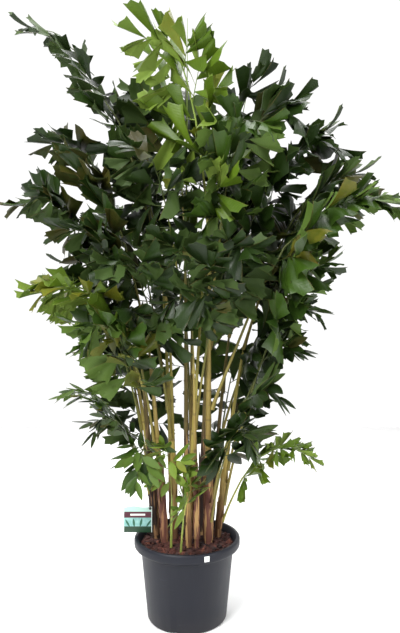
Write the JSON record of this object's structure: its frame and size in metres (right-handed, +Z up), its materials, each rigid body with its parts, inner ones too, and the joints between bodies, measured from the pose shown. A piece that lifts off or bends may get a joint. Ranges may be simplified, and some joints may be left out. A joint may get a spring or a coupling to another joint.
{
  "type": "potted fishtail palm",
  "caption": "Tall clustering fishtail palm with arching fronds of ragged wedge leaflets, in a dark grey plastic nursery pot of bark.",
  "frame": {"origin": "centre of the pot's underside, on the surface that it stands on", "axes": "+Z up along the pot's axis, -Y towards the side with the pale young fronds, +X to the viewer's right when looking along +Y"},
  "size_m": [1.3972, 0.9465, 2.1184],
  "materials": {
    "pot_plastic": "satin",
    "bark": "matte",
    "cane_brown": "matte",
    "cane_pink": "matte",
    "cane_yellow": "satin",
    "leaf_dark": "satin",
    "leaf_mid": "satin",
    "leaf_light": "satin",
    "card": "satin",
    "strap": "matte",
    "sticker": "matte"
  },
  "bodies": {
    "root": {"pot": "pot_plastic", "substrate": "bark", "care_label": "card", "label_strap": "strap", "rim_sticker": "sticker", "cane_1": "cane_brown", "cane_10": "cane_yellow", "cane_11": "cane_pink", "cane_12": "cane_yellow", "cane_13": "cane_brown", "cane_2": "cane_pink", "cane_3": "cane_yellow", "cane_4": "cane_yellow", "cane_5": "cane_pink", "cane_6": "cane_pink", "cane_7": "cane_yellow", "cane_8": "cane_brown", "cane_9": "cane_brown", "frond_back_crest": "leaf_dark", "frond_back_high": "leaf_dark", "frond_back_hip_left": "leaf_dark", "frond_back_hip_right": "leaf_dark", "frond_back_left": "leaf_dark", "frond_back_low": "leaf_mid", "frond_back_right": "leaf_dark", "frond_front_high": "leaf_dark", "frond_front_left": "leaf_dark", "frond_front_middle": "leaf_dark", "frond_front_right": "leaf_dark", "frond_label_side": "leaf_mid", "frond_left_belt": "leaf_dark", "frond_left_crest": "leaf_dark", "frond_left_fall": "leaf_mid", "frond_left_high": "leaf_dark", "frond_left_low": "leaf_mid", "frond_left_pale": "leaf_light", "frond_left_reach": "leaf_dark", "frond_left_shoulder": "leaf_dark", "frond_left_spray": "leaf_dark", "frond_left_waist": "leaf_dark", "frond_right_arm": "leaf_dark", "frond_right_belt": "leaf_dark", "frond_right_crest": "leaf_dark", "frond_right_fall": "leaf_dark", "frond_right_high": "leaf_dark", "frond_right_hip": "leaf_dark", "frond_right_low": "leaf_dark", "frond_right_reach": "leaf_mid", "frond_right_shoulder": "leaf_dark", "frond_right_spray": "leaf_light", "frond_right_stalk": "leaf_mid", "frond_right_waist": "leaf_dark", "frond_sucker_1": "leaf_light", "frond_sucker_2": "leaf_light", "frond_young_crest": "leaf_light", "frond_young_right": "leaf_mid", "spear_1": "leaf_light", "spear_2": "leaf_light", "sucker_1": "leaf_light", "sucker_2": "leaf_light"}
  },
  "joints": []
}
